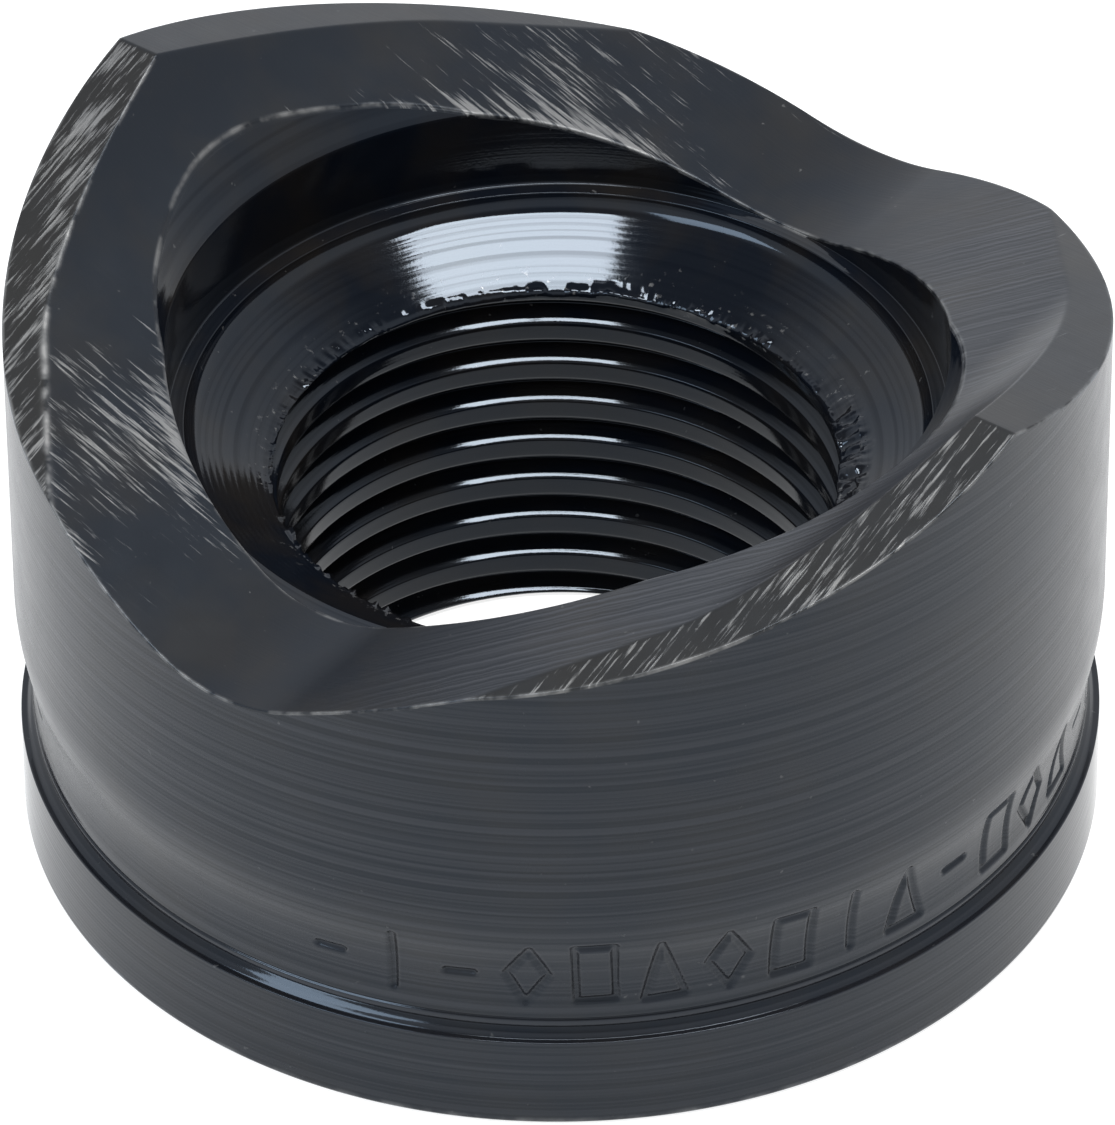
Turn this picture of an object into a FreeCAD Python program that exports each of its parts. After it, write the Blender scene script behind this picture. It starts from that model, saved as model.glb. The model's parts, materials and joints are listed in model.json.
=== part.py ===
"""Knockout punch for 1 inch trade-size conduit: one piece of turned, threaded and ground tool steel.

Frame: origin at the centre of the base face, +Z up to the cutting edge. The two cutting peaks
stand on the X axis and the two valleys between them on the Y axis. Millimetres.
"""
import FreeCAD, Part
import math
import os

Vec = FreeCAD.Vector

# ---- driving dimensions ---------------------------------------------------------------------
LAND_R = 17.3            # cutting land: half of the 34.6 mm hole that 1 inch conduit needs
PEAK_Z = 21.6            # height of the two cutting peaks
BASE_R = 17.25           # base ring
BASE_H = 3.25
BASE_CHAMFER = 0.15

NECK_R = 16.85           # relieved neck that carries the stamped marks
NECK_FOOT_Z = 3.65       # neck meets the groove above the base ring
NECK_TOP_Z = 4.85        # neck starts to swell towards the land
LAND_FOOT_Z = 8.55       # swelling ends in the cylindrical land
GROOVE_R = 16.72         # floor of the groove above the base ring
GROOVE_SIDE = 0.12       # the groove's curve is this far outside its floor radius where it is lowest
GROOVE_DIP = 0.02        # and this far above the base ring's shoulder
LIP_Z = 3.9              # fine scribed line round the neck, just above the groove
LIP_DEPTH = 0.06
LIP_HALF_WIDTH = 0.05

VALLEY_SLOPE = 20.2      # degrees, straight flank of the cutting face
VALLEY_APEX_Z = 13.93    # where the two flanks would meet if the valley were not rounded
VALLEY_RADIUS = 7.2      # rounding at the bottom of the valley
FLANK_END_X = 11.85      # flank ends and the upward sweep to the peak begins
SWEEP_RADIUS = 7.5
SWEEP_END = 12.0         # degrees below level at which the cutter's sweep ends, clear of the blank
ROOF_SLOPE = 17.1        # degrees, the two ground facets that meet in each peak's ridge

RECESS_R = 12.27         # counterbore under the cutting face
RECESS_CHAMFER_Z = 17.35
RECESS_CHAMFER_ANGLE = 34.6   # degrees from the axis
RECESS_STEP_Z = 14.35         # flat step at the foot of the counterbore's wall
RECESS_FLOOR_SLOPE = 28.8     # degrees from the base plane, floor dished towards the thread
RECESS_FLOOR_Z = 12.43        # height of the floor where it meets the thread's minor radius
RECESS_FILLET = 0.8           # rounding that lifts the rim of the floor to the step
RECESS_FILLET_R = 11.35       # radius from the axis at which that rounding starts

THREAD_PITCH = 25.4 / 16      # 3/4-16 UNF for the draw stud
THREAD_MAJOR_R = 0.75 * 25.4 / 2
THREAD_MINOR_R = 8.89
THREAD_FLANK = 30.0           # degrees, half of the 60 degree profile
THREAD_ROOT_FLAT = THREAD_PITCH / 8
THREAD_START_ANGLE = 127.0    # degrees round the axis at which a crest centre lies at THREAD_CREST_Z
THREAD_CREST_Z = -0.20
THREAD_TURNS_DOWN = 2         # whole turns below the base, so that the thread starts cleanly
THREAD_TURNS_UP = 9           # whole turns above the base, the last runs out over the recess floor
THREAD_INSIDE = 0.25          # how far inside the minor radius the thread's cutter begins
THREAD_LEAD_IN = 0.15         # chamfer where the thread leaves the base face

MARK_HEIGHT = 2.3             # stamped size code, replaced by plain geometric marks
MARK_WIDTH = 1.3
MARK_STROKE = 0.26
MARK_DEPTH = 0.16
MARK_CLEAR = 1.0              # how far the mark's cutter stands out of the neck
DASH_SHARE = 0.6              # a dash is this share of a mark's width
MARK_Z = 5.75
MARK_SURFACE_R = 16.98        # neck radius at MARK_Z
MARK_LEAN = 6.5               # degrees, the neck's slope there
MARK_FIRST_ANGLE = 282.0
MARK_PITCH_ANGLE = 7.1
LONE_MARK_ANGLE = 229.7

BLANK_TOP_Z = PEAK_Z + 0.5    # turned blank before the cutting face is ground
OVER = 5.0                    # how far cutting solids run past what they cut


def tan(degrees):
    return math.tan(math.radians(degrees))


def cos(degrees):
    return math.cos(math.radians(degrees))


def sin(degrees):
    return math.sin(math.radians(degrees))


def line(a, b):
    return Part.makeLine(Vec(a[0], 0, a[1]), Vec(b[0], 0, b[1]))


def arc(a, middle, b):
    """Circular arc through three points of the XZ plane."""
    points = [Vec(p[0], 0, p[1]) for p in (a, middle, b)]
    return Part.Arc(*points).toShape()


def arc_about(centre, radius, from_angle, to_angle):
    """Arc of the XZ plane, angles in degrees from +X towards +Z."""
    angles = (from_angle, (from_angle + to_angle) / 2, to_angle)
    points = [(centre[0] + radius * cos(t), centre[1] + radius * sin(t)) for t in angles]
    return arc(*points), points[0], points[2]


def outer_profile():
    """Base ring, groove, scribed line, neck, swelling and land, from the base face upwards."""
    rise = LAND_FOOT_Z - NECK_TOP_Z
    swell = LAND_R - NECK_R
    radius = (rise ** 2 + swell ** 2) / (4 * swell)
    bend = math.degrees(math.asin(rise / 2 / radius))
    hollow, _, _ = arc_about((NECK_R + radius, NECK_TOP_Z), radius, 180, 180 - bend)
    crown, _, _ = arc_about((LAND_R - radius, LAND_FOOT_Z), radius, -bend, 0)
    return [
        line((BASE_R - BASE_CHAMFER, 0), (BASE_R, BASE_CHAMFER)),
        line((BASE_R, BASE_CHAMFER), (BASE_R, BASE_H)),
        arc((BASE_R, BASE_H), (GROOVE_R + GROOVE_SIDE, BASE_H + GROOVE_DIP), (NECK_R, NECK_FOOT_Z)),
        line((NECK_R, NECK_FOOT_Z), (NECK_R, LIP_Z - LIP_HALF_WIDTH)),
        line((NECK_R, LIP_Z - LIP_HALF_WIDTH), (NECK_R - LIP_DEPTH, LIP_Z)),
        line((NECK_R - LIP_DEPTH, LIP_Z), (NECK_R, LIP_Z + LIP_HALF_WIDTH)),
        line((NECK_R, LIP_Z + LIP_HALF_WIDTH), (NECK_R, NECK_TOP_Z)),
        hollow,
        crown,
        line((LAND_R, LAND_FOOT_Z), (LAND_R, BLANK_TOP_Z)),
    ]


def inner_profile():
    """Blank top, recess chamfer, wall, step, fillet, dished floor, bore and base, top down."""
    top_r = RECESS_R + (BLANK_TOP_Z - RECESS_CHAMFER_Z) * tan(RECESS_CHAMFER_ANGLE)
    bend = RECESS_FLOOR_SLOPE
    fillet_foot = (RECESS_FILLET_R, RECESS_FLOOR_Z + (RECESS_FILLET_R - THREAD_MINOR_R) * tan(bend))
    centre = (fillet_foot[0] - RECESS_FILLET * sin(bend), fillet_foot[1] + RECESS_FILLET * cos(bend))
    stop = -math.degrees(math.asin((centre[1] - RECESS_STEP_Z) / RECESS_FILLET))
    fillet, _, fillet_head = arc_about(centre, RECESS_FILLET, bend - 90, stop)
    return [
        line((LAND_R, BLANK_TOP_Z), (top_r, BLANK_TOP_Z)),
        line((top_r, BLANK_TOP_Z), (RECESS_R, RECESS_CHAMFER_Z)),
        line((RECESS_R, RECESS_CHAMFER_Z), (RECESS_R, RECESS_STEP_Z)),
        line((RECESS_R, RECESS_STEP_Z), fillet_head),
        fillet,
        line(fillet_foot, (THREAD_MINOR_R, RECESS_FLOOR_Z)),
        line((THREAD_MINOR_R, RECESS_FLOOR_Z), (THREAD_MINOR_R, THREAD_LEAD_IN)),
        line((THREAD_MINOR_R, THREAD_LEAD_IN), (THREAD_MINOR_R + THREAD_LEAD_IN, 0)),
        line((THREAD_MINOR_R + THREAD_LEAD_IN, 0), (BASE_R - BASE_CHAMFER, 0)),
    ]


def turned_blank():
    """The blank as it leaves the lathe: everything that is round about the Z axis."""
    wire = Part.Wire(Part.__sortEdges__(outer_profile() + inner_profile()))
    return Part.Face(wire).revolve(Vec(0, 0, 0), Vec(0, 0, 1), 360)


def saddle_cutter():
    """Everything above the cutting face: its outline in the XZ plane, run along the valleys (Y)."""
    bend = VALLEY_SLOPE
    half = VALLEY_RADIUS * sin(bend)
    bottom_z = VALLEY_APEX_Z + VALLEY_RADIUS * (1 / cos(bend) - 1)
    tangent = (half, VALLEY_APEX_Z + half * tan(bend))
    flank_end = (FLANK_END_X, VALLEY_APEX_Z + FLANK_END_X * tan(bend))
    sweep_centre = (FLANK_END_X - SWEEP_RADIUS * sin(bend), flank_end[1] + SWEEP_RADIUS * cos(bend))
    edges = [arc((-tangent[0], tangent[1]), (0, bottom_z), tangent)]
    top = PEAK_Z + 2 * OVER
    for side in (1, -1):
        start = bend - 90 if side > 0 else -90 - bend
        stop = -SWEEP_END if side > 0 else SWEEP_END - 180
        sweep, _, tip = arc_about((side * sweep_centre[0], sweep_centre[1]), SWEEP_RADIUS, start, stop)
        edges += [line((side * tangent[0], tangent[1]), (side * flank_end[0], flank_end[1])), sweep,
                  line(tip, (tip[0], top))]
        corner = tip[0]
    edges.append(line((corner, top), (-corner, top)))
    outline = Part.Face(Part.Wire(Part.__sortEdges__(edges)))
    outline.translate(Vec(0, -LAND_R - OVER, 0))
    return outline.extrude(Vec(0, 2 * (LAND_R + OVER), 0))


def roof_cutter():
    """Everything above the two ground facets, which meet in a level ridge along X at PEAK_Z."""
    half = LAND_R + OVER
    low = PEAK_Z - half * tan(ROOF_SLOPE)
    high = PEAK_Z + 2 * OVER
    points = [Vec(-half, 0, PEAK_Z), Vec(-half, half, low), Vec(-half, half, high),
              Vec(-half, -half, high), Vec(-half, -half, low), Vec(-half, 0, PEAK_Z)]
    return Part.Face(Part.makePolygon(points)).extrude(Vec(2 * half, 0, 0))


def thread_turns():
    """Helical groove of the internal 3/4-16 thread, right-handed, as one solid per turn."""
    inside = THREAD_MINOR_R - THREAD_INSIDE
    half_root = THREAD_ROOT_FLAT / 2
    half_mouth = half_root + (THREAD_MAJOR_R - inside) * tan(THREAD_FLANK)
    helix = Part.makeHelix(THREAD_PITCH, THREAD_PITCH, THREAD_MINOR_R)
    outline = [(inside, -half_mouth), (THREAD_MAJOR_R, -half_root), (THREAD_MAJOR_R, half_root),
               (inside, half_mouth), (inside, -half_mouth)]
    profile = Part.makePolygon([Vec(r, 0, z) for r, z in outline])
    turn = Part.Wire(helix.Edges).makePipeShell([profile], True, True)
    turn.rotate(Vec(0, 0, 0), Vec(0, 0, 1), THREAD_START_ANGLE)
    turn.translate(Vec(0, 0, THREAD_CREST_Z + THREAD_PITCH / 2))
    turns = []
    for number in range(-THREAD_TURNS_DOWN, THREAD_TURNS_UP):
        copy = turn.copy()
        copy.translate(Vec(0, 0, number * THREAD_PITCH))
        turns.append(copy)
    return turns


def stroke(a, b):
    """One straight stroke of a stamped mark: a bar in the mark's own plane, Y outwards."""
    run = Vec(b[0] - a[0], 0, b[1] - a[1])
    length = run.Length + MARK_STROKE
    corner = Vec(-MARK_STROKE / 2, -MARK_DEPTH, -MARK_STROKE / 2)
    bar = Part.makeBox(length, MARK_DEPTH + MARK_CLEAR, MARK_STROKE, corner)
    bar.rotate(Vec(0, 0, 0), Vec(0, 1, 0), -math.degrees(math.atan2(run.z, run.x)))
    bar.translate(Vec(a[0], 0, a[1]))
    return bar


def mark_outlines():
    """The plain shapes of the marks: dash, bar, square, diamond and triangle."""
    w, h = MARK_WIDTH / 2, MARK_HEIGHT / 2
    return {
        "dash": [(-w * DASH_SHARE, 0), (w * DASH_SHARE, 0)],
        "bar": [(0, -h), (0, h)],
        "square": [(-w, -h), (w, -h), (w, h), (-w, h), (-w, -h)],
        "diamond": [(0, -h), (w, 0), (0, h), (-w, 0), (0, -h)],
        "triangle": [(-w, -h), (w, -h), (0, h), (-w, -h)],
    }


MARK_ROW = ["dash", "bar", "dash", "diamond", "square", "triangle", "diamond", "square",
            "bar", "triangle", "dash", "square", "diamond", "triangle", "dash", "bar"]


def marks():
    """The stamped marks round the neck, as one compound of strokes to cut away."""
    outlines = mark_outlines()
    places = [(name, MARK_FIRST_ANGLE + i * MARK_PITCH_ANGLE) for i, name in enumerate(MARK_ROW)]
    places.append(("dash", LONE_MARK_ANGLE))
    strokes = []
    for name, angle in places:
        points = outlines[name]
        for a, b in zip(points, points[1:]):
            bar = stroke(a, b)
            bar.rotate(Vec(0, 0, 0), Vec(1, 0, 0), -MARK_LEAN)
            bar.translate(Vec(0, MARK_SURFACE_R, MARK_Z))
            bar.rotate(Vec(0, 0, 0), Vec(0, 0, 1), angle - 90)
            strokes.append(bar)
    return strokes


def punch_body():
    body = turned_blank()
    body = body.cut(saddle_cutter())
    body = body.cut(roof_cutter())
    for turn in thread_turns():
        body = body.cut(turn)
    body = body.cut(marks())
    return body


os.makedirs("parts", exist_ok=True)
shape = punch_body()
solids = shape.Solids
print("solids", len(solids), "valid", shape.isValid(), "volume", round(shape.Volume, 1),
      "box", shape.BoundBox)
solids[0].exportStep("parts/punch_body.step")
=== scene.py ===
import bmesh
import bpy
import json
import math
import numpy as np
from mathutils import Matrix, Vector


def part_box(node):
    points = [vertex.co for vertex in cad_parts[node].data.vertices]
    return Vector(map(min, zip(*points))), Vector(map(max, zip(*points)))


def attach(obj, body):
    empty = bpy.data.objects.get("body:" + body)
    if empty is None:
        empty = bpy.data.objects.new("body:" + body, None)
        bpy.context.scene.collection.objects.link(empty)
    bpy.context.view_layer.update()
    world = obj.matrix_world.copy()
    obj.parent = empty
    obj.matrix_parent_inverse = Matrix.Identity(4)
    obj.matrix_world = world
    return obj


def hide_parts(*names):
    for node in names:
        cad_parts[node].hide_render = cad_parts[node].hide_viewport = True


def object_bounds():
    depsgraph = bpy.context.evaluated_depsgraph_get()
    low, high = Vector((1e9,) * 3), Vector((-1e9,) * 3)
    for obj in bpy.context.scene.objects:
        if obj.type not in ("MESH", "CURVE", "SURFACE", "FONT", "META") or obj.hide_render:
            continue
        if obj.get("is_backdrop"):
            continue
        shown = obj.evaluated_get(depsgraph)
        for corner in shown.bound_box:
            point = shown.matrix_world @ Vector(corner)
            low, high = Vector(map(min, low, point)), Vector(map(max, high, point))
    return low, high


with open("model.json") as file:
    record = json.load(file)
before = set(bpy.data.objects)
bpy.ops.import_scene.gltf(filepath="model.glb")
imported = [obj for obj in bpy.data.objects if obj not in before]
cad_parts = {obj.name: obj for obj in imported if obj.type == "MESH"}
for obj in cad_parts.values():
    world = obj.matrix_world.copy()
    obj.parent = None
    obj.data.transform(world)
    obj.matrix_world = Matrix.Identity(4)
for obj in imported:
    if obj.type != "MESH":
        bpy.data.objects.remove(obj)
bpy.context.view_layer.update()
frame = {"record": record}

MM = 0.001
TAU = 2 * math.pi

# ---- sizes of the punch in millimetres, read from the frame where it states them -----------------
node_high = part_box("punch_body")[1]
LAND_R = node_high[0] / MM
PEAK_Z = node_high[2] / MM
mounts = {m["name"]: m for m in frame["record"]["mounts"]}
THREAD_MINOR_R = mounts["stud_thread"]["dims"]["r_mm"]

BASE_R, BASE_H, BASE_CHAMFER = 17.25, 3.25, 0.15
NECK_R = 16.85
NECK_FOOT_Z, LIP_Z = 3.65, 3.9
NECK_TOP_Z, LAND_FOOT_Z = 4.85, 8.55

VALLEY_TAN = math.tan(math.radians(20.2))
VALLEY_APEX_Z, VALLEY_RADIUS = 13.93, 7.2
FLANK_END_X, SWEEP_RADIUS = 11.85, 7.5
ROOF_TAN = math.tan(math.radians(17.1))

RECESS_R, RECESS_CHAMFER_Z = 12.27, 17.35
CHAMFER_TAN = math.tan(math.radians(34.6))
STEP_Z, FLOOR_TAN, FLOOR_Z = 14.35, math.tan(math.radians(28.8)), 12.43
RECESS_FILLET, FILLET_R = 0.8, 11.35

PITCH = 25.4 / 16
THREAD_MAJOR_R = 9.525
CREST_ANGLE, CREST_Z = math.radians(127.0), -0.20

COLUMNS = 1800           # round the axis, 0.06 mm apart at the land
BORE_COLUMNS = 900


# ---- shape of the cutting face -------------------------------------------------------------------
def soft_min(a, b, width):
    """The lower of two heights, with the crease between them rounded over about width."""
    h = np.clip(0.5 + 0.5 * (b - a) / width, 0, 1)
    return b + (a - b) * h - width * h * (1 - h)


def saddle_height(x):
    """The main cutting face, which is straight along Y: valley, flank, then the sweep to the peak."""
    ax = np.abs(x)
    bend = math.atan(VALLEY_TAN)
    half = VALLEY_RADIUS * math.sin(bend)
    bottom = VALLEY_APEX_Z + VALLEY_RADIUS / math.cos(bend)
    valley = bottom - np.sqrt(VALLEY_RADIUS ** 2 - np.minimum(ax, half) ** 2)
    flank = VALLEY_APEX_Z + VALLEY_TAN * ax
    centre_x = FLANK_END_X - SWEEP_RADIUS * math.sin(bend)
    centre_z = VALLEY_APEX_Z + VALLEY_TAN * FLANK_END_X + SWEEP_RADIUS * math.cos(bend)
    over = np.clip(SWEEP_RADIUS ** 2 - (np.maximum(ax, FLANK_END_X) - centre_x) ** 2, 0.2, None)
    sweep = centre_z - np.sqrt(over) + np.maximum(ax - centre_x - 7.4, 0) * 8
    return np.where(ax < half, valley, np.where(ax > FLANK_END_X, sweep, flank))


def roof_height(y):
    """The two ground facets behind each peak."""
    ay = np.sqrt(y * y + 0.02 ** 2) - 0.02
    return PEAK_Z - ROOF_TAN * ay


def top_height(x, y):
    return soft_min(saddle_height(x), roof_height(y), 0.05)


# ---- smooth repeatable noise ---------------------------------------------------------------------
def noise_ring(angle, seed, low, high, count):
    """A smooth random function of the angle, about -1 to 1, with count waves between low and high."""
    rng = np.random.default_rng(seed)
    total = np.zeros_like(angle)
    for k in rng.integers(low, high, count):
        total = total + rng.normal() * np.cos(k * angle + rng.uniform(0, TAU))
    return total / math.sqrt(count)


# ---- building a grid into a mesh -----------------------------------------------------------------
def grid_mesh(name, radius, angle, height, closed):
    """A mesh of quads from arrays of rows by columns, joined round the axis where it is closed."""
    rows, columns = radius.shape
    points = np.stack([radius * np.cos(angle), radius * np.sin(angle), height], axis=-1)
    points = points.reshape(-1, 3) * MM
    across = columns if closed else columns - 1
    i, j = np.meshgrid(np.arange(rows - 1), np.arange(across), indexing="ij")
    k = (j + 1) % columns
    this, following = i * columns, (i + 1) * columns
    quads = np.stack([this + j, this + k, following + k, following + j], axis=-1)
    quads = quads.reshape(-1, 4)
    mesh = bpy.data.meshes.new(name)
    mesh.vertices.add(len(points))
    mesh.vertices.foreach_set("co", points.astype(np.float32).ravel())
    mesh.loops.add(quads.size)
    mesh.loops.foreach_set("vertex_index", quads.astype(np.int32).ravel())
    mesh.polygons.add(len(quads))
    mesh.polygons.foreach_set("loop_start", np.arange(0, quads.size, 4, dtype=np.int32))
    mesh.polygons.foreach_set("loop_total", np.full(len(quads), 4, dtype=np.int32))
    mesh.polygons.foreach_set("use_smooth", np.ones(len(quads), dtype=bool))
    mesh.update()
    mesh.validate()
    return mesh


# ---- outside: base ring, groove, neck with its marks, land ---------------------------------------
def outer_rows():
    """Radius and height down the profile, from the top of the land to the base face."""
    rise, swell = LAND_FOOT_Z - NECK_TOP_Z, LAND_R - NECK_R
    bend_r = (rise ** 2 + swell ** 2) / (4 * swell)
    profile = [(LAND_R, z) for z in np.linspace(13.9, LAND_FOOT_Z, 60)]
    for z in np.arange(LAND_FOOT_Z - 0.06, LIP_Z + 0.1, -0.06):
        if z > NECK_TOP_Z + rise / 2:
            r = LAND_R - bend_r + math.sqrt(bend_r ** 2 - (LAND_FOOT_Z - z) ** 2)
        elif z > NECK_TOP_Z:
            r = NECK_R + bend_r - math.sqrt(bend_r ** 2 - (z - NECK_TOP_Z) ** 2)
        else:
            r = NECK_R
        profile.append((r, z))
    for t in np.linspace(-1, 1, 13):
        profile.append((NECK_R - 0.075 * math.exp(-(t * 2.2) ** 2), LIP_Z - t * 0.09))
    profile += [(NECK_R, z) for z in np.linspace(LIP_Z - 0.11, NECK_FOOT_Z + 0.02, 4)]
    for a in np.linspace(0, 1, 5):
        profile.append((NECK_R - 0.10 * a * a, NECK_FOOT_Z - 0.04 * a))
    for a in np.linspace(0.05, 1, 12):
        profile.append((NECK_R - 0.10 + 0.30 * a, NECK_FOOT_Z - 0.04 - 0.31 * a))
    inner_edge = profile[-1][0]
    for r in np.linspace(inner_edge + 0.02, BASE_R - 0.05, 6):
        profile.append((r, BASE_H + 0.035))
    for t in np.linspace(math.pi / 2, 0, 6):
        profile.append((BASE_R - 0.04 + 0.04 * math.cos(t), BASE_H - 0.005 + 0.04 * math.sin(t)))
    profile += [(BASE_R, z) for z in np.linspace(BASE_H - 0.05, BASE_CHAMFER + 0.03, 40)]
    for t in np.linspace(0, math.pi / 2, 7):
        profile.append((BASE_R - BASE_CHAMFER * (1 - math.cos(t)), BASE_CHAMFER * (1 - math.sin(t))))
    return np.array(profile)


MARK_STROKES = {
    "dash": [((-0.42, 0), (0.42, 0))],
    "bar": [((0, -1), (0, 1))],
    "square": [((-0.62, -1), (0.62, -1)), ((0.62, -1), (0.62, 1)),
               ((0.62, 1), (-0.62, 1)), ((-0.62, 1), (-0.62, -1))],
    "diamond": [((0, -1), (0.66, 0)), ((0.66, 0), (0, 1)), ((0, 1), (-0.66, 0)), ((-0.66, 0), (0, -1))],
    "triangle": [((-0.66, -1), (0.66, -1)), ((0.66, -1), (0, 1)), ((0, 1), (-0.66, -1))],
}
MARK_ROW = ["dash", "bar", "dash", "diamond", "square", "triangle", "diamond", "square",
            "bar", "triangle", "dash", "square", "diamond", "triangle", "dash", "bar"]
MARK_FIRST, MARK_STEP, LONE_MARK = 282.0, 7.1, 229.7
MARK_Z, MARK_HALF_HEIGHT, MARK_HALF_STROKE = 5.75, 1.15, 0.14


def mark_depth(angle, height):
    """How far the stamped marks press into the neck, and the small lip that they raise."""
    depth = np.zeros_like(angle)
    rng = np.random.default_rng(5)
    places = [(name, MARK_FIRST + i * MARK_STEP) for i, name in enumerate(MARK_ROW)]
    for name, at in places + [("dash", LONE_MARK)]:
        lean, lift = rng.normal() * 0.035, rng.normal() * 0.06
        force = 1 + rng.normal() * 0.12
        turn = (angle - math.radians(at) + math.pi) % TAU - math.pi
        near = np.abs(turn) < 0.08
        x = turn[near] * NECK_R
        y = height[near] - MARK_Z - lift
        x, y = x - lean * y, y + lean * x
        best = np.full_like(x, 9.0)
        for (ax, ay), (bx, by) in MARK_STROKES[name]:
            ax, bx = ax * 0.98, bx * 0.98
            ay, by = ay * MARK_HALF_HEIGHT, by * MARK_HALF_HEIGHT
            dx, dy = bx - ax, by - ay
            t = np.clip(((x - ax) * dx + (y - ay) * dy) / (dx * dx + dy * dy), 0, 1)
            best = np.minimum(best, np.hypot(x - ax - t * dx, y - ay - t * dy))
        cut = np.clip(1.25 - best / MARK_HALF_STROKE, 0, 1)
        cut = cut * cut * (3 - 2 * cut)
        lip = np.exp(-((best - MARK_HALF_STROKE * 1.75) / 0.07) ** 2)
        depth[near] += force * (0.13 * cut - 0.005 * lip)
    return depth


theta = np.arange(COLUMNS) * TAU / COLUMNS
outer = outer_rows()
angle = np.broadcast_to(theta, (len(outer), COLUMNS)).copy()
radius = np.repeat(outer[:, :1], COLUMNS, axis=1)
height = np.repeat(outer[:, 1:], COLUMNS, axis=1)
radius = radius - mark_depth(angle, height)

# the land runs on up to the cutting edge, whose height follows the cutting face
rim = top_height(LAND_R * np.cos(theta), LAND_R * np.sin(theta))
EDGE = 0.045
steps = np.linspace(1, 0, 90)[:, None]
upper_height = 13.9 + (rim - EDGE - 13.9)[None, :] * steps
upper_radius = np.full_like(upper_height, LAND_R)
turn = np.linspace(0, math.pi / 2, 6)[1:-1][::-1, None]
edge_radius = LAND_R - EDGE + EDGE * np.cos(turn) + 0 * theta[None, :]


# ---- cutting face: from the rim in to the mouth of the recess ------------------------------------
def inner_rim(theta):
    """Radius at which the cutting face meets the recess, wall or chamfer, at each angle."""
    r = np.full_like(theta, RECESS_R)
    for _ in range(60):
        z = top_height(r * np.cos(theta), r * np.sin(theta))
        r = 0.5 * r + 0.5 * np.maximum(RECESS_R, RECESS_R + (z - RECESS_CHAMFER_Z) * CHAMFER_TAN)
    return r


mouth = inner_rim(theta)
shares = np.linspace(1, 0, 84)[:, None]
face_radius = (mouth + EDGE)[None, :] + (LAND_R - EDGE - mouth - EDGE)[None, :] * shares
face_height = top_height(face_radius * np.cos(theta), face_radius * np.sin(theta))
edge_height = face_height[:1] - EDGE * (1 - np.sin(turn))

mouth_z = top_height(mouth * np.cos(theta), mouth * np.sin(theta))
lip_r, lip_z = [], []
for a in np.linspace(0, math.pi / 2, 5)[1:]:
    lip_r.append(mouth + EDGE * (1 - math.sin(a)))
    lip_z.append(mouth_z - EDGE * (1 - math.cos(a)))
lip_radius, lip_height = np.array(lip_r), np.array(lip_z)

# ---- recess: chamfer, wall, step, fillet, dished floor -------------------------------------------
share = np.linspace(0, 1, 26)[1:, None]
start = mouth_z - EDGE
chamfer_end = np.minimum(RECESS_CHAMFER_Z, start - 0.01)
chamfer_height = start + (chamfer_end - start) * share
chamfer_radius = np.maximum(RECESS_R, RECESS_R + (chamfer_height - RECESS_CHAMFER_Z) * CHAMFER_TAN)
wall_foot = np.minimum(STEP_Z, chamfer_end - 0.005)
wall_height = chamfer_end + (wall_foot - chamfer_end) * np.linspace(0, 1, 22)[1:, None]
wall_radius = np.full_like(wall_height, RECESS_R)
slope = math.atan(FLOOR_TAN)
foot_z = FLOOR_Z + (FILLET_R - THREAD_MINOR_R) * FLOOR_TAN
centre_r, centre_z = FILLET_R - RECESS_FILLET * math.sin(slope), foot_z + RECESS_FILLET * math.cos(slope)
steepest = math.acos((centre_z - STEP_Z) / RECESS_FILLET)
turns = np.linspace(steepest, slope, 16)[:, None]
fillet_radius = centre_r + RECESS_FILLET * np.sin(turns) + 0 * theta
fillet_height = centre_z - RECESS_FILLET * np.cos(turns) + 0 * theta
step_radius = np.linspace(RECESS_R - 0.04, fillet_radius[0, 0] + 0.03, 6)[:, None] + 0 * theta
step_height = np.full_like(step_radius, STEP_Z)
FLOOR_END_R = 9.95
floor_radius = np.linspace(FILLET_R, FLOOR_END_R, 34)[1:, None] + 0 * theta
floor_height = FLOOR_Z + (floor_radius - THREAD_MINOR_R) * FLOOR_TAN

shell_radius = np.vstack([radius[::-1], upper_radius[::-1][1:], edge_radius[::-1], face_radius, lip_radius,
                          chamfer_radius, wall_radius, step_radius, fillet_radius, floor_radius])
shell_height = np.vstack([height[::-1], upper_height[::-1][1:], edge_height[::-1], face_height, lip_height,
                          chamfer_height, wall_height, step_height, fillet_height, floor_height])
shell_angle = np.broadcast_to(theta, shell_radius.shape)
shell = grid_mesh("body_shell", shell_radius, shell_angle, shell_height, True)

# ---- bore: helical thread with a torn upper edge, down to the base -------------------------------
bore_theta = np.arange(BORE_COLUMNS + 1) * TAU / BORE_COLUMNS
TURNS_BELOW, TURNS_ABOVE = 2, 9
LEAD_IN = 0.15
CORNER = 0.07            # rounding of the thread's corners, as a share of its depth
FLAT = PITCH / 8
DEPTH = THREAD_MAJOR_R - THREAD_MINOR_R
FLANK = DEPTH * math.tan(math.radians(30))
CREST_HALF = PITCH / 2 - FLAT / 2 - FLANK


def phase_rows():
    """Places of the rows inside one pitch, from one crest centre to the next, close at the corners."""
    corners = [0, CREST_HALF, CREST_HALF + FLANK, PITCH - CREST_HALF - FLANK, PITCH - CREST_HALF, PITCH]
    counts = [4, 8, 3, 8, 3]
    rows = []
    for a, b, n in zip(corners, corners[1:], counts):
        rows += list(a + (b - a) * (0.5 - 0.5 * np.cos(math.pi * np.arange(n) / n)))
    return np.array(rows)


def soft_ramp(share):
    """The share itself above zero and nothing below it, with the corner between them rounded."""
    bent = np.where(share < CORNER, (share + CORNER) ** 2 / (4 * CORNER), share)
    return np.where(share < -CORNER, 0, bent)


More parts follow.
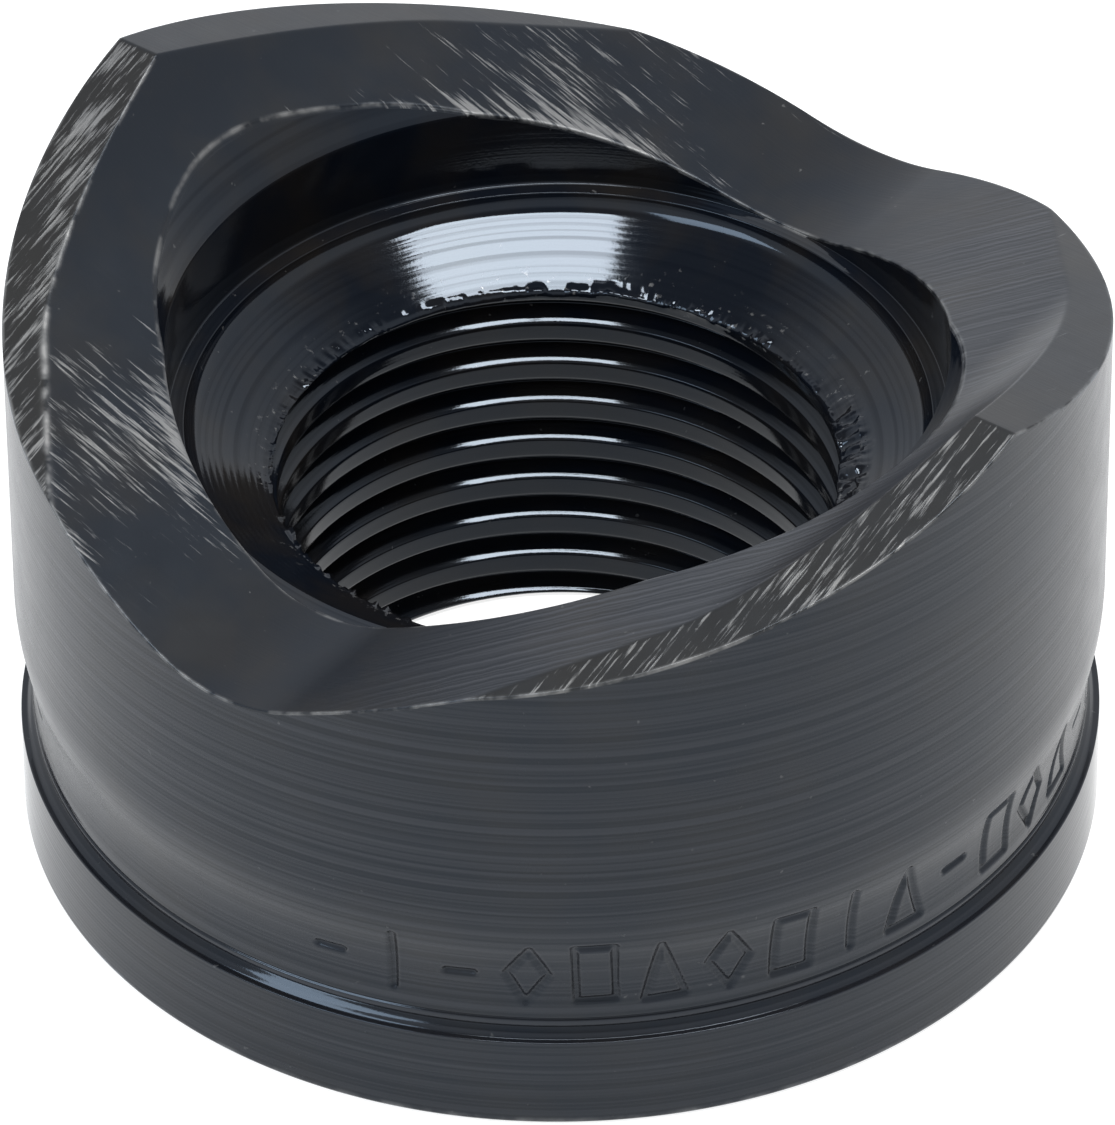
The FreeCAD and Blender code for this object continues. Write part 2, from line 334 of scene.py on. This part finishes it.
def thread_radius(phase):
    """Radius of the thread at a distance along the axis from a crest centre."""
    away = np.abs((phase + PITCH / 2) % PITCH - PITCH / 2)
    share = (away - CREST_HALF) / FLANK
    return THREAD_MINOR_R + np.where(share < 0.5, soft_ramp(share), 1 - soft_ramp(1 - share)) * DEPTH


phases = phase_rows()
levels = np.concatenate([phases + PITCH * k for k in range(-TURNS_BELOW, TURNS_ABOVE)])
climb = (bore_theta - CREST_ANGLE) / TAU * PITCH
bore_z = CREST_Z + levels[:, None] + climb[None, :]
bore_r = thread_radius(bore_z - CREST_Z - climb[None, :])
top_limit = FLOOR_Z + (FLOOR_END_R - THREAD_MINOR_R) * FLOOR_TAN
bore_z = np.clip(bore_z, 0.0, top_limit)
floor_r = THREAD_MINOR_R + (bore_z - FLOOR_Z) / FLOOR_TAN
lead_r = THREAD_MINOR_R + LEAD_IN - bore_z
edge_gap = floor_r - bore_r
bore_r = np.maximum(np.maximum(bore_r, floor_r), lead_r)
RIDGE_WIDTH, RIDGE_IN, RIDGE_UP = 0.15, 0.055, 0.085
# a thin ragged ridge of torn metal stands on the edge where the thread breaks out of the floor
coarse, fine = noise_ring(bore_theta, 3, 8, 60, 16), noise_ring(bore_theta, 4, 60, 140, 30)
ragged = np.clip(0.6 + 0.9 * coarse + 0.4 * fine, 0, 1.7)
shreds = np.random.default_rng(11).normal(size=bore_r.shape)
shreds = sum(np.roll(shreds, k, axis=1) for k in range(-2, 3)) / math.sqrt(5)
shreds = sum(np.roll(shreds, k, axis=0) for k in range(-1, 2)) / math.sqrt(3)
shreds[:, -1] = shreds[:, 0]
ragged[-1] = ragged[0]
ridge = np.exp(-(edge_gap / RIDGE_WIDTH) ** 2) * (bore_z > FLOOR_Z - 0.3)
ridge = ridge * np.clip(ragged[None, :] + 0.45 * shreds, 0, 2)
bore_r = bore_r - RIDGE_IN * ridge
bore_z = bore_z + RIDGE_UP * ridge
bore = grid_mesh("bore_thread", bore_r, np.broadcast_to(bore_theta, bore_r.shape), bore_z, False)

# ---- underside -----------------------------------------------------------------------------------
base_radius = np.linspace(THREAD_MINOR_R + LEAD_IN, BASE_R - BASE_CHAMFER, 40)[:, None] + 0 * theta
base_height = np.zeros_like(base_radius)
base = grid_mesh("base_face", base_radius, np.broadcast_to(theta, base_radius.shape), base_height, True)


def join_meshes(name, meshes):
    objects = []
    for mesh in meshes:
        o = bpy.data.objects.new(mesh.name, mesh)
        bpy.context.scene.collection.objects.link(o)
        objects.append(o)
    bpy.ops.object.select_all(action="DESELECT")
    for o in objects:
        o.select_set(True)
    bpy.context.view_layer.objects.active = objects[0]
    bpy.ops.object.join()
    objects[0].name = name
    return objects[0]


punch = join_meshes("punch_steel", [shell, bore, base])
bm = bmesh.new()
bm.from_mesh(punch.data)
bmesh.ops.remove_doubles(bm, verts=bm.verts, dist=0.002 * MM)
bmesh.ops.recalc_face_normals(bm, faces=bm.faces)
bm.to_mesh(punch.data)
bm.free()
punch.data.name = "punch_steel"

# ---- where the steel is glossy, ground, scratched or worn, as numbers on the mesh ----------------
points = np.empty(len(punch.data.vertices) * 3, dtype=np.float32)
punch.data.vertices.foreach_get("co", points)
points = points.reshape(-1, 3).astype(float) / MM
px, py, pz = points.T
pr, pa = np.hypot(px, py), np.arctan2(py, px)
saddle, roof = saddle_height(px), roof_height(py)
on_face = (np.abs(pz - np.minimum(saddle, roof)) < 0.10) & (pr > RECESS_R - 0.1)
mouth_here = np.interp(pa % TAU, theta, mouth, period=TAU)
inside = (pr < mouth_here + 0.5) & ~on_face & (pz > 0.01)
on_roof = np.clip((saddle - roof) / 0.10 + 0.5, 0, 1) * on_face


def blob(x, y, along, across):
    return np.exp(-((px - x) / along) ** 2 - ((py - y) / across) ** 2)


def near_mouth(width):
    return np.exp(-((pr - mouth_here) / width) ** 2)


def near_rim(width):
    return np.exp(-((LAND_R - pr) / width) ** 2)


bands = 1.0 + 0.5 * near_mouth(0.9) + 0.5 * near_rim(0.9)
wear_x = (blob(-8, -11.5, 4.5, 4.5) * bands + blob(-7.5, 10.5, 5.0, 5.0) * bands
          + 0.30 * near_rim(0.5) + 0.25 * near_mouth(0.35)) * on_face * (1 - on_roof)
wear_y = (np.clip(-px / 8, 0, 1) * np.clip(0.5 - py / 0.3, 0.10, 1)
          + np.clip(px / 8, 0, 1) * np.clip(0.5 - py / 0.3, 0.30, 0.85)) * on_roof
crease = np.exp(-((saddle - roof) / 0.05) ** 2) * on_face * (px < 0) * (py < 0)
edge = np.maximum(np.exp(-((LAND_R - pr) / 0.05) ** 2), np.exp(-((pr - mouth_here) / 0.05) ** 2)) * on_face
edge = np.maximum(edge * 0.75, crease)
edge = np.maximum(edge, 0.5 * np.exp(-((pz - 0.1) / 0.1) ** 2) * (pr > BASE_R - 0.3))
floor_gap = pr - THREAD_MINOR_R - (pz - FLOOR_Z) / FLOOR_TAN
torn = np.exp(-((pr - 9.2) / 0.45) ** 2) * (np.abs(floor_gap) < 0.35) * (pz > FLOOR_Z - 0.25) * inside
wavy = on_face * (1 - on_roof) * np.clip((px - 3) / 5, 0, 1)
for name, values in (("inside", inside), ("on_face", on_face), ("wear_x", wear_x), ("wear_y", wear_y),
                     ("edge_wear", edge), ("torn", torn), ("wavy", wavy)):
    layer = punch.data.attributes.new(name, "FLOAT", "POINT")
    layer.data.foreach_set("value", values.astype(np.float32))

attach(punch, "root")
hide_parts("punch_body")

RIPPLE_ANGLE = 36.98     # degrees from X towards Y, the lie of the wavy grinding lines

# ---- material: black oxide and oil over turned and ground tool steel -----------------------------
mat = bpy.data.materials.new("black_oxide_steel")
mat.use_nodes = True
tree = mat.node_tree
for n in list(tree.nodes):
    tree.nodes.remove(n)


def node(kind, **settings):
    n = tree.nodes.new(kind)
    for key, value in settings.items():
        setattr(n, key, value)
    return n


def put(socket, value):
    """Link a socket to another, or set it to a constant."""
    if isinstance(value, bpy.types.NodeSocket):
        tree.links.new(value, socket)
    else:
        socket.default_value = value


def calc(operation, a, b=0.0, clamp=False):
    n = node("ShaderNodeMath", operation=operation, use_clamp=clamp)
    put(n.inputs[0], a)
    put(n.inputs[1], b)
    return n.outputs[0]


def attribute(name):
    return node("ShaderNodeAttribute", attribute_name=name).outputs["Fac"]


def stretched_noise(scale, detail=3.0, roughness=0.55):
    """Noise of the object's own coordinates, its waves per metre given along each axis."""
    n = node("ShaderNodeVectorMath", operation="MULTIPLY")
    put(n.inputs[0], object_place)
    n.inputs[1].default_value = scale
    noise = node("ShaderNodeTexNoise")
    put(noise.inputs["Vector"], n.outputs[0])
    noise.inputs["Scale"].default_value = 1.0
    noise.inputs["Detail"].default_value = detail
    noise.inputs["Roughness"].default_value = roughness
    return noise.outputs["Fac"]


def line_noise(place, per_metre):
    """Irregular parallel lines across a direction, as a cutting tool leaves them."""
    noise = node("ShaderNodeTexNoise", noise_dimensions="1D")
    put(noise.inputs["W"], calc("MULTIPLY", place, per_metre))
    noise.inputs["Scale"].default_value = 1.0
    noise.inputs["Detail"].default_value = 2.0
    return noise.outputs["Fac"]


def blend(factor, a, b):
    n = node("ShaderNodeMix", data_type="RGBA")
    put(n.inputs[0], factor)
    put(n.inputs[6], a)
    put(n.inputs[7], b)
    return n.outputs[2]


def above(value, limit, sharpness):
    return calc("MULTIPLY", calc("SUBTRACT", value, limit), sharpness, True)


object_place = node("ShaderNodeTexCoord").outputs["Object"]
split = node("ShaderNodeSeparateXYZ")
put(split.inputs[0], object_place)
place_x, place_y, place_z = split.outputs
from_axis = calc("SQRT", calc("ADD", calc("MULTIPLY", place_x, place_x), calc("MULTIPLY", place_y, place_y)))
is_inside, is_face, is_torn = attribute("inside"), attribute("on_face"), attribute("torn")

# turning: a regular feed with an irregular depth, along the axis outside and across the floor inside
feed = calc("SINE", calc("MULTIPLY", place_z, TAU / (0.16 * MM)))
feed_noise = line_noise(place_z, 3600.0)
turning = calc("ADD", calc("MULTIPLY", feed, 0.35), calc("MULTIPLY", feed_noise, 3.0))
not_outside = calc("MAXIMUM", is_inside, is_face)
outside = calc("SUBTRACT", 1.0, not_outside)
ring_feed = calc("SINE", calc("MULTIPLY", from_axis, TAU / (0.22 * MM)))
floor_noise, wall_noise = line_noise(from_axis, 4200.0), line_noise(place_z, 3000.0)
floor_turning = calc("ADD", calc("MULTIPLY", floor_noise, 2.4), calc("MULTIPLY", ring_feed, 0.55))
outside_lines = calc("MULTIPLY", turning, outside)
inside_lines = calc("MULTIPLY", calc("ADD", floor_turning, calc("MULTIPLY", wall_noise, 1.6)),
                    calc("MULTIPLY", is_inside, 0.8))

# grinding: streaks along X on the main cutting face and along Y on the facets behind the peaks
streak_x = stretched_noise((420.0, 8200.0, 900.0), 4.0, 0.62)
broad_x = stretched_noise((160.0, 1500.0, 300.0), 2.0)
streak_y = stretched_noise((8200.0, 480.0, 900.0), 4.0, 0.62)
broad_y = stretched_noise((1500.0, 160.0, 300.0), 2.0)
patch = stretched_noise((260.0, 260.0, 260.0), 3.0)
reach_x = calc("MULTIPLY", attribute("wear_x"), calc("ADD", calc("MULTIPLY", broad_x, 1.2), 0.1))
reach_y = calc("MULTIPLY", attribute("wear_y"), calc("ADD", calc("MULTIPLY", broad_y, 1.2), 0.2))
scratch_x = calc("MULTIPLY", above(streak_x, calc("SUBTRACT", 0.74, calc("MULTIPLY", reach_x, 0.32)), 7.0),
                 above(reach_x, 0.02, 6.0))
scratch_y = calc("MULTIPLY", above(streak_y, calc("SUBTRACT", 0.78, calc("MULTIPLY", reach_y, 0.34)), 7.0),
                 above(reach_y, 0.02, 6.0))
speck = above(stretched_noise((2600.0, 2600.0, 2600.0), 2.0), 0.735, 22.0)
broken = above(stretched_noise((900.0, 900.0, 900.0), 3.0), 0.42, 5.0)
worn_edge = calc("MULTIPLY", attribute("edge_wear"), broken)
bare = calc("ADD", calc("ADD", scratch_x, scratch_y), calc("MULTIPLY", speck, 0.25), True)
bare = calc("MAXIMUM", calc("MULTIPLY", bare, 0.62), calc("MULTIPLY", worn_edge, 0.75))
glint = above(stretched_noise((3400.0, 3400.0, 3400.0), 3.0), 0.64, 8.0)
bare = calc("MAXIMUM", bare, calc("MULTIPLY", calc("MULTIPLY", is_torn, glint), 0.6))

steel = blend(patch, (0.19, 0.19, 0.195, 1), (0.30, 0.295, 0.28, 1))
oxide = blend(above(patch, 0.42, 4.0), (0.0025, 0.0034, 0.0055, 1), (0.0070, 0.0062, 0.0058, 1))
# painted sheen: the outside turning lines are painted lighter in the oxide colour, patchy across the
# surface, standing in for the light they reflect
turning_line_sheen = calc("ADD", calc("MULTIPLY", feed, 0.16), above(feed_noise, 0.34, 2.6))
turning_line_sheen = calc("MULTIPLY", turning_line_sheen, outside, True)
sheen_patchiness = calc("ADD", 0.35, calc("MULTIPLY", stretched_noise((150.0, 150.0, 55.0), 3.0), 0.9))
oxide = blend(calc("MULTIPLY", turning_line_sheen, sheen_patchiness, True), oxide, (0.020, 0.0205, 0.0235, 1))
# the last pass of the grinder left wavy lines on the second peak's face
lay = math.radians(RIPPLE_ANGLE)
across_lay = calc("ADD", calc("MULTIPLY", place_x, -math.sin(lay)), calc("MULTIPLY", place_y, math.cos(lay)))
waver = calc("MULTIPLY", stretched_noise((900.0, 900.0, 900.0), 2.0), 0.25 * MM)
ripple = line_noise(calc("ADD", across_lay, waver), 6000.0)
oxide = blend(calc("MULTIPLY", above(ripple, 0.44, 5.0), attribute("wavy")), oxide, (0.021, 0.022, 0.026, 1))
oxide = blend(calc("MULTIPLY", attribute("wear_y"), 0.8), oxide, (0.012, 0.0105, 0.0085, 1))

# roughness: oil inside, satin outside, ground on the cutting face
gloss = calc("ADD", calc("MULTIPLY", stretched_noise((700.0, 700.0, 700.0), 3.0), 0.10), 0.21)
gloss = calc("ADD", gloss, calc("MULTIPLY", is_face, 0.09))
wet = calc("ADD", 0.035, calc("MULTIPLY", stretched_noise((500.0, 500.0, 500.0), 3.0), 0.09))
low = calc("SUBTRACT", 1.0, above(place_z, 4.1 * MM, 2500.0))
rough = blend(calc("MAXIMUM", is_inside, calc("MULTIPLY", low, calc("SUBTRACT", 1.0, is_face))), gloss, wet)
rough = calc("ADD", calc("MULTIPLY", bare, 0.16), rough)

grain = stretched_noise((9000.0, 9000.0, 9000.0), 3.0)
relief = calc("ADD", calc("ADD", outside_lines, inside_lines), calc("MULTIPLY", grain, 0.5))
relief = calc("ADD", relief, calc("MULTIPLY", calc("MULTIPLY", streak_x, 2.2), is_face))
relief = calc("ADD", relief, calc("MULTIPLY", ripple, calc("MULTIPLY", attribute("wavy"), 2.6)))
relief = calc("SUBTRACT", relief, calc("MULTIPLY", calc("ADD", scratch_x, scratch_y), 2.0))
bump = node("ShaderNodeBump")
put(bump.inputs["Height"], relief)
bump.inputs["Strength"].default_value = 1.0
bump.inputs["Distance"].default_value = 0.0018 * MM

shader = node("ShaderNodeBsdfPrincipled")
put(shader.inputs["Base Color"], blend(bare, oxide, steel))
put(shader.inputs["Metallic"], bare)
put(shader.inputs["Roughness"], rough)
put(shader.inputs["Normal"], bump.outputs[0])
shader.inputs["IOR"].default_value = 1.5
ring_line = above(calc("ADD", calc("MULTIPLY", ring_feed, 0.10), floor_noise), 0.50, 5.0)
ring_line = calc("MULTIPLY", ring_line, is_inside)
put(shader.inputs["Specular IOR Level"], calc("SUBTRACT", 0.31, calc("MULTIPLY", ring_line, 0.10)))
shader.inputs["Specular Tint"].default_value = (0.76, 0.87, 1.0, 1)
put(node("ShaderNodeOutputMaterial").inputs["Surface"], shader.outputs["BSDF"])
punch.data.materials.clear()
punch.data.materials.append(mat)

# ---- stage, lights, camera -----------------------------------------------------------------------
def plain_material(name, color, glow):
    m = bpy.data.materials.new(name)
    m.use_nodes = True
    b = m.node_tree.nodes["Principled BSDF"]
    b.inputs["Base Color"].default_value = (*color, 1)
    b.inputs["Roughness"].default_value = 0.8
    b.inputs["Specular IOR Level"].default_value = 0.1
    b.inputs["Emission Color"].default_value = (1, 1, 1, 1)
    b.inputs["Emission Strength"].default_value = glow
    return m


bpy.ops.mesh.primitive_plane_add(size=3.0, location=(0, 0, -0.00002))
floor = bpy.context.object
floor.name = "floor"
floor.data.materials.append(plain_material("paper", (0.28, 0.28, 0.28), 0.82))
floor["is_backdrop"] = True

world = bpy.data.worlds.new("studio")
bpy.context.scene.world = world
world.use_nodes = True
world.node_tree.nodes["Background"].inputs["Color"].default_value = (0.9, 0.92, 0.96, 1)
# the studio is pale round the sides and dark overhead, outside the soft boxes
sky = world.node_tree
split_sky, fade = sky.nodes.new("ShaderNodeSeparateXYZ"), sky.nodes.new("ShaderNodeMapRange")
sky.links.new(sky.nodes.new("ShaderNodeTexCoord").outputs["Generated"], split_sky.inputs[0])
sky.links.new(split_sky.outputs[2], fade.inputs["Value"])
for name, value in (("From Min", 0.70), ("From Max", 0.86), ("To Min", 1.1), ("To Max", 0.22)):
    fade.inputs[name].default_value = value
sky.links.new(fade.outputs[0], sky.nodes["Background"].inputs["Strength"])


def area(name, toward, distance, size, radiance, color=(1, 1, 1)):
    """A soft box that faces the punch from a direction given as right, away and up in the view."""
    data = bpy.data.lights.new(name, "AREA")
    data.shape = "RECTANGLE"
    data.size, data.size_y = size
    data.energy = radiance * math.pi * size[0] * size[1]
    data.color = color
    lamp = bpy.data.objects.new(name, data)
    a = math.radians(VIEW_AZIMUTH)
    right, away = Vector((math.cos(a), math.sin(a), 0)), Vector((-math.sin(a), math.cos(a), 0))
    out = (right * toward[0] + away * toward[1] + Vector((0, 0, toward[2]))).normalized()
    across = (right - out * right.dot(out)).normalized()
    along = out.cross(across)
    place = out * distance + Vector((0, 0, 0.012))
    lamp.matrix_world = Matrix(((across.x, along.x, out.x, place.x), (across.y, along.y, out.y, place.y),
                                (across.z, along.z, out.z, place.z), (0, 0, 0, 1)))
    bpy.context.scene.collection.objects.link(lamp)
    return lamp


VIEW_AZIMUTH = 36.98
area("overhead", (0.105, -0.05, 0.993), 0.5, (0.265, 0.15), 30.0)
area("left_window", (-0.575, -0.385, 0.722), 0.5, (0.24, 0.19), 8.5, (0.75, 0.87, 1.0))

cam_data = bpy.data.cameras.new("camera")
camera = bpy.data.objects.new("camera", cam_data)
bpy.context.scene.collection.objects.link(camera)
bpy.context.scene.camera = camera
cam_data.sensor_fit = "AUTO"
cam_data.sensor_width = 36.0
cam_data.lens = 346.46
cam_data.clip_start, cam_data.clip_end = 0.05, 5.0
azimuth, elevation = math.radians(VIEW_AZIMUTH), math.radians(38.583)
distance, roll = 0.34341, math.radians(-0.447)
target = Vector((-0.000046, -0.000035, 0.008472))
level = Vector((math.sin(azimuth), -math.cos(azimuth), 0))
back = level * math.cos(elevation) + Vector((0, 0, math.sin(elevation)))
right = Vector((math.cos(azimuth), math.sin(azimuth), 0))
up = back.cross(right)
right_rolled = math.cos(roll) * right + math.sin(roll) * up
up_rolled = -math.sin(roll) * right + math.cos(roll) * up
camera.matrix_world = Matrix((
    (right_rolled.x, up_rolled.x, back.x, target.x + back.x * distance),
    (right_rolled.y, up_rolled.y, back.y, target.y + back.y * distance),
    (right_rolled.z, up_rolled.z, back.z, target.z + back.z * distance),
    (0, 0, 0, 1),
))

bpy.context.scene.view_settings.view_transform = "Standard"

low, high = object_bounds()
